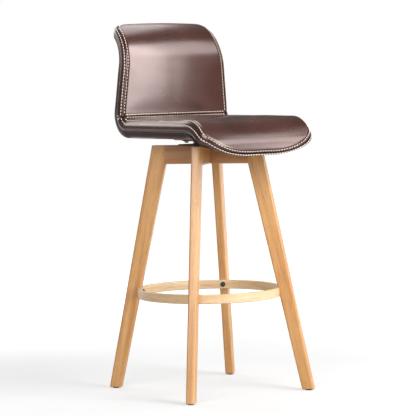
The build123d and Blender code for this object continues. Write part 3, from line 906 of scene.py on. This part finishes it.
# Where it starts and how it grows from the nose to its full depth, the reach of its rim's painted
# shade, then the spacing of its mesh
COVER_FRONT = 4.0
COVER_EASE = 100.0
COVER_NOSE = 2.0
COVER_LIP = 1.2
COVER_LEAST = 0.4
COVER_SHADE = 3.0
SHELL_START = RUN_END["run"] - 2.0
COVER_STEP = 5.0
COVER_EDGE_STEPS = [0.0, 0.4, 1.2, 2.2, 3.1, 4.5, 6.5, 9.0, 12.0, 16.0]
COVER_SIDE_COLUMNS = 12
COVER_WINDOW_COLUMNS = 16


def over_mount(run, x):
    """True over the opening for the mount board."""
    y = seam(run)[0]
    on_seat = RUN_END["lead"] < run < RUN_END["seat"]
    return on_seat and abs(x) < WINDOW_HALF and abs(y) < WINDOW_HALF


def cover_front(run, x):
    """Inner face of the outer cover: against the shell, and under the gusset at the rim."""
    if edge_distance(run, x) < GUSSET - COVER_LIP:
        return -gusset_depth(run) - LAYER_GAP
    return -GUSSET_DEPTH - LAYER_GAP if run > SHELL_START else PAD_BACK - LAYER_GAP


def cover_back(run, x):
    """Outer face of the outer cover, full in the middle and rolled in at its rim."""
    full = along(run, FULL_MARKS)
    rim = along(run, SIDE_MARKS)
    share = across_share(run, x, COVER_INSET)
    from_rim = edge_distance(run, x) - COVER_INSET
    thick = rim * roll(from_rim, SEAM_ROLL) + (full - rim) * (1 - share**2)
    deep = -GUSSET_DEPTH - LAYER_GAP - thick
    ahead = min(max((run - COVER_FRONT) / COVER_EASE, 0.0), 1.0)
    ease = ahead * ahead * (3 - 2 * ahead)
    shallow = -max(gusset_depth(run), -PAD_BACK) - COVER_NOSE
    height = shallow + (deep - shallow) * ease
    return min(height, cover_front(run, x) - COVER_LEAST)


def cover_painted_shade(run, x):
    """Painted shade along the outer cover's rim."""
    return dimple(max(edge_distance(run, x) - COVER_INSET, 0.0), 0.0, COVER_SHADE)


def cover_across(run):
    """Places across the outer cover at a run, with columns at the opening's sides."""
    wide = half(run, COVER_INSET)
    outer = [wide - edge for edge in COVER_EDGE_STEPS[:-1]]
    outer += list(np.linspace(wide - COVER_EDGE_STEPS[-1], WINDOW_HALF, COVER_SIDE_COLUMNS + 1))
    inner = list(np.linspace(WINDOW_HALF, -WINDOW_HALF, COVER_WINDOW_COLUMNS + 1))[1:-1]
    return [-x for x in outer] + inner[::-1] + outer[::-1]


def cover_runs():
    """Runs of the outer cover's rows, with rows at the shell's front and the opening's ends."""
    mount = RUN_END["seat"] - BEND_START
    top = [BACK_TOP_RUN - d for d in corner_samples(COVER_INSET, TOP_CORNER)][::-1]
    marks = [
        COVER_FRONT,
        SHELL_START,
        RUN_END["run"],
        mount - WINDOW_HALF,
        mount + WINDOW_HALF,
        RUN_END["seat"],
        RUN_END["rise"],
        top[0],
    ]
    runs = []
    for first, second in zip(marks, marks[1:]):
        count = max(1, round((second - first) / COVER_STEP))
        runs += list(np.linspace(first, second, count + 1))[:-1]
    return runs + top


def outer_cover():
    """The padded panel under the seat and behind the back."""
    shape = slab(cover_runs(), cover_across, cover_front, cover_back, over_mount, cover_painted_shade)
    vertices, faces, painted_groove_shades = shape
    # The outer panel takes the lighter leather, with painted light for its dim underside
    made = smooth_object("outer_panel", vertices, faces, UNDER_LEATHER_PAINTED_LIGHT, "seat", painted_groove_shades)
    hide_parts("outer_cover")


# Topstitching

STITCH_PITCH = 8.6
STITCH_LENGTH = 5.6
STITCH_RADIUS = 1.25
STITCH_SIDES = 6

# Rings of a stitch: place along half its length, rise in millimetres and share of its radius
STITCH_ARCH = (
    (-1.0, -0.7, 0.55),
    (-0.6, 0.25, 0.95),
    (0.0, 0.5, 1.0),
    (0.6, 0.25, 0.95),
    (1.0, -0.7, 0.55),
)
TINY = 1e-12

# Where the rows run: on the lip of the side bands, along the seam in the bend, beside the mitre
PAD_ROW_START = 9
LIP_ROW_START = 3
LIP_INSET = 2.9
LIP_HEIGHT = 0.2
LIP_LEAN = 0.2
JUNCTION_ROW = 5.6
JUNCTION_ROW_INSET = 11.0
JUNCTION_ROW_POINTS = 90
MITRE_ROW = 4.0
MITRE_HEIGHTS = np.linspace(-2.5, -0.86 * GUSSET_DEPTH, 14)
MITRE_OUT = 0.45


def stitch_row(row):
    """Vertices and faces of stitches along points on the leather and their ways out of it."""
    points = np.array([point for point, _ in row])
    normals = np.array([normal for _, normal in row])
    steps = np.linalg.norm(np.diff(points, axis=0), axis=1)
    reach = np.concatenate([[0.0], np.cumsum(steps)])

    def at(values, distance):
        return np.array([np.interp(distance, reach, values[:, axis]) for axis in range(3)])

    count = int(reach[-1] / (STITCH_PITCH * MM))
    vertices, faces = [], []
    for index in range(count):
        centre = (index + 0.5) * reach[-1] / count
        faces += tube_faces(len(STITCH_ARCH), STITCH_SIDES, len(vertices))
        for step, rise, swell in STITCH_ARCH:
            here = centre + step * STITCH_LENGTH / 2 * MM
            way = at(points, here + MM) - at(points, here - MM)
            tangent = way / (np.linalg.norm(way) + TINY)
            across = np.cross(tangent, at(normals, here))
            across /= np.linalg.norm(across) + TINY
            up = np.cross(across, tangent)
            spot = at(points, here) + up * rise * MM
            for turn in range(STITCH_SIDES):
                angle = 2 * math.pi * turn / STITCH_SIDES
                ring = across * math.cos(angle) + up * math.sin(angle)
                vertices.append(tuple(spot + ring * STITCH_RADIUS * swell * MM))
    return vertices, faces


def over(run, x, height, outward=(0.0, 0.0)):
    """A point on the leather and its direction out of it."""
    point = np.array(place(run, x, height))
    up = np.array(place(run, x, height + 1.0)) - point
    aside = np.array(place(run + outward[0], x + outward[1], height)) - point
    direction = up + aside
    return point, direction / np.linalg.norm(direction)


def pad_row(from_run, front):
    """Points round a pad, inside its edge seam."""
    flat, inward = outline(from_run, front)
    row = []
    for run, x in flat + inward * (PAD_INSET + STITCH_INSET):
        row.append(over(run, x, pad_height(run, x)))
    return row


def lip_row(from_run, front):
    """Points round a side band, on its lip."""
    flat, inward = outline(from_run, front)
    row = []
    for (run, x), outward in zip(flat + inward * LIP_INSET, inward * -LIP_LEAN):
        row.append(over(run, x, LIP_HEIGHT, outward))
    return row


def junction_row(offset):
    """Points across a pad, beside the seam in the bend."""
    run = JUNCTION + offset
    wide = half(run, GUSSET + JUNCTION_ROW_INSET)
    places = np.linspace(-wide, wide, JUNCTION_ROW_POINTS)
    return [over(run, x, pad_height(run, x)) for x in places]


def mitre_row(offset, sign):
    """Points across a side band, beside its mitre."""
    run = JUNCTION + offset
    x = sign * (half(run, 0.0) + MITRE_OUT)
    outward = np.array((float(sign), 0.0, 0.0))
    return [(np.array(place(run, x, height)), outward) for height in MITRE_HEIGHTS]


def stitching(name, rows):
    """One piece of thread with several rows of stitches."""
    vertices, faces = [], []
    for row in rows:
        more, more_faces = stitch_row(row)
        faces += [tuple(index + len(vertices) for index in face) for face in more_faces]
        vertices += more
    smooth_object(name, vertices, faces, THREAD, "seat")


pad("seat_pad", seat_runs(), "seat_cushion")
pad("back_pad", back_runs(), "back_cushion")
gusset("seat_band", SEAT_END, True, "seat_gusset")
gusset("back_band", BACK_START, False, "back_gusset")
outer_cover()
stitching(
    "seat_stitches",
    [
        pad_row(SEAT_END - PAD_ROW_START, True),
        lip_row(SEAT_END - LIP_ROW_START, True),
        junction_row(-JUNCTION_ROW),
    ],
)
stitching(
    "back_stitches",
    [
        pad_row(BACK_START + PAD_ROW_START, False),
        lip_row(BACK_START + LIP_ROW_START, False),
        junction_row(JUNCTION_ROW),
    ],
)
stitching(
    "mitre_stitches",
    [mitre_row(offset, sign) for offset in (-MITRE_ROW, MITRE_ROW) for sign in (-1, 1)],
)

# Frame and fittings

UP = Vector((0, 0, 1))
LEG_AZIMUTHS = {"rear_right": 45, "rear_left": 135, "front_left": 225, "front_right": 315}
RAIL_AZIMUTHS = {"rail_lower_lap": 45, "rail_upper_lap": 135}
FOOT_RADIUS = 278.0
TOP_RADIUS = 137.0
LEG_HEIGHT = 690.0
LEG_SPLAY = math.atan2(FOOT_RADIUS - TOP_RADIUS, LEG_HEIGHT)

# Degrees of azimuth for a metre's shift of the grain, so that no two boards look alike
LEG_SHIFT = 50
RAIL_SHIFT = 30

FITTINGS = {
    "foot_glides": NYLON,
    "footrest_bolts": DARK_STEEL,
    "footrest_washers": BLACK_STEEL,
    "footrest_inserts": ZINC,
    "swivel_lower_plate": BLACK_STEEL,
    "swivel_lower_screws": ZINC,
    "swivel_pivot": ZINC,
    "ball_cage": BRASS,
    "bearing_balls": BALL_STEEL,
    "swivel_upper_plate": BLACK_STEEL,
    "seat_bolts": ZINC,
    "seat_t_nuts": ZINC,
    "mount_board": PLYWOOD,
    "seat_shell": PLYWOOD,
}


def dress(node, material):
    """Gives a CAD node its material."""
    mesh = NODES[node].data
    mesh.materials.clear()
    mesh.materials.append(material)


def outwards(azimuth):
    """Level direction at an azimuth in degrees."""
    turn = math.radians(azimuth)
    return Vector((math.cos(turn), math.sin(turn), 0.0))


for name, azimuth in LEG_AZIMUTHS.items():
    out = outwards(azimuth)
    down = out * math.sin(LEG_SPLAY) - UP * math.cos(LEG_SPLAY)
    across = out * math.cos(LEG_SPLAY) + UP * math.sin(LEG_SPLAY)
    grain = straight_grain(down, across, azimuth / LEG_SHIFT)
    dress(f"leg_{name}", beech(f"beech_{name}", grain, LEG_WOOD))
# The rails take the darker beech, with its painted shade
for name, azimuth in RAIL_AZIMUTHS.items():
    grain = straight_grain(outwards(azimuth), UP, azimuth / RAIL_SHIFT)
    dress(name, beech(f"beech_{name}", grain, RAIL_WOOD_PAINTED_SHADE))
dowel_grain = straight_grain((1, 0, 0), UP, 0)
dress("frame_dowels", beech("beech_dowels", dowel_grain, DOWEL_WOOD))
dress("footrest_ring", footrest_wood("bent_beech", RING_WOOD))
for node, material in FITTINGS.items():
    dress(node, material)

# Studio

# Where the white backdrop stands, where it fades in on the floor and in the sky, and how high it
# reaches over the horizon
BACKDROP = (0.55, 0.835, 0.0)
BACKDROP_FLOOR = (1.2, 2.5)
BACKDROP_SKY = (0.5, 0.8)
BACKDROP_TOP = 0.07
WHITE = (1, 1, 1, 1)

# The floor in metres, its tone, and how it is lifted from near the object to white far away
FLOOR_HALF = 9.0
FLOOR_CORNERS = ((-1, -1), (1, -1), (1, 1), (-1, 1))
FLOOR_DARK = (168, 168, 168)
FLOOR_LIGHT = (174, 174, 174)
LIFT_NEAR = 0.45
LIFT_REACH = (0.6, 2.4)
SKY_STRENGTH = 0.12

CAMERA_PLACE = (-3.209, -4.872, 0.906)
CAMERA_AIM = (0.0, 0.0, 0.512)
CAMERA_ROLL = 1.14
CAMERA_LENS = 180.0
CAMERA_SENSOR = 36.0


def shown(n, in_backdrop):
    """1 for rays that show the set: those seen straight, and reflections of the backdrop."""
    path = n.add("ShaderNodeLightPath").outputs
    reflected = n.math("MAXIMUM", path["Is Glossy Ray"], path["Is Transmission Ray"])
    return n.math("MAXIMUM", path["Is Camera Ray"], n.math("MULTIPLY", reflected, in_backdrop))


def floor():
    """Pale floor that keeps the shadow, lifted to white where it is seen."""
    mesh = bpy.data.meshes.new("floor")
    corners = [(x * FLOOR_HALF, y * FLOOR_HALF, 0) for x, y in FLOOR_CORNERS]
    mesh.from_pydata(corners, [], [(0, 1, 2, 3)])
    made = bpy.data.objects.new("floor", mesh)
    bpy.context.scene.collection.objects.link(made)
    n = Material("floor")
    tone = n.spread(n.noise(n.point, scale=1.5, detail=2.0), 0.3, 0.7)
    n.set(Base_Color=n.mix(tone, linear(*FLOOR_DARK), linear(*FLOOR_LIGHT)), Roughness=0.9)
    x, y, _ = n.separate(n.point)
    lift = n.spread(n.reach(x, y), *LIFT_REACH, new_low=LIFT_NEAR)
    behind = n.spread(n.dot(n.point, BACKDROP), *BACKDROP_FLOOR)
    n.set(Specular_IOR_Level=0.0, Emission_Color=WHITE)
    n.set(Emission_Strength=n.math("MULTIPLY", shown(n, behind), lift))
    made.data.materials.append(n.material)


def softbox(name, place_at, aim, size, power, mirrored=True):
    """A rectangular lamp, which reflections show only if it is mirrored."""
    data = bpy.data.lights.new(name, "AREA")
    data.shape = "RECTANGLE"
    data.size, data.size_y = size
    data.energy = power
    made = bpy.data.objects.new(name, data)
    made.location = place_at
    made.rotation_mode = "QUATERNION"
    made.rotation_quaternion = (Vector(aim) - Vector(place_at)).to_track_quat("-Z", "Y")
    made.visible_glossy = mirrored
    bpy.context.scene.collection.objects.link(made)


def sky():
    """White behind the object, and a low plain level of light from all sides."""
    world = bpy.data.worlds.new("studio")
    world.use_nodes = True
    bpy.context.scene.world = world
    n = Nodes(world.node_tree)
    light = n.tree.nodes["Background"]
    n.feed(light, Color=WHITE, Strength=SKY_STRENGTH)
    white = n.add("ShaderNodeBackground")
    n.feed(white, Color=WHITE)
    direction = n.add("ShaderNodeTexCoord").outputs["Generated"]
    behind = n.spread(n.dot(direction, BACKDROP), *BACKDROP_SKY)
    low = n.spread(n.dot(direction, UP), 0.0, BACKDROP_TOP, 1.0, 0.0)
    blend = n.add("ShaderNodeMixShader")
    n.put(blend.inputs[0], shown(n, n.math("MULTIPLY", behind, low)))
    n.put(blend.inputs[1], light.outputs[0])
    n.put(blend.inputs[2], white.outputs[0])
    n.feed(n.tree.nodes["World Output"], Surface=blend.outputs[0])


def camera():
    """The photograph's viewing angle."""
    data = bpy.data.cameras.new("camera")
    data.sensor_width = CAMERA_SENSOR
    data.lens = CAMERA_LENS
    made = bpy.data.objects.new("camera", data)
    made.location = CAMERA_PLACE
    forward = Vector(CAMERA_AIM) - made.location
    turn = Matrix.Rotation(math.radians(CAMERA_ROLL), 3, forward.normalized())
    level = forward.to_track_quat("-Z", "Y").to_matrix()
    made.rotation_mode = "QUATERNION"
    made.rotation_quaternion = (turn @ level).to_quaternion()
    bpy.context.scene.collection.objects.link(made)
    bpy.context.scene.camera = made


floor()
softbox("key", (0.92, -2.68, 1.95), aim=(0, 0.15, 0.85), size=(1.5, 3.7), power=124)
softbox("right", (1.65, -1.65, 2.73), aim=(0, 0, 0.75), size=(1.6, 1.4), power=24)
softbox("fill", (-2.35, -1.65, 1.75), aim=(0, 0, 0.4), size=(2.0, 1.7), power=56)
softbox("rear", (-0.7, 3.0, 2.0), aim=(0, 0, 0.6), size=(2.2, 1.6), power=28)
softbox("side", (2.7, -0.9, 0.9), aim=(0, 0, 0.55), size=(1.2, 1.6), power=30, mirrored=False)
softbox("top", (0.25, 0.9, 3.1), aim=(0, 0, 0.5), size=(2.0, 2.0), power=34)
sky()
camera()
bpy.context.scene.view_settings.view_transform = "Standard"
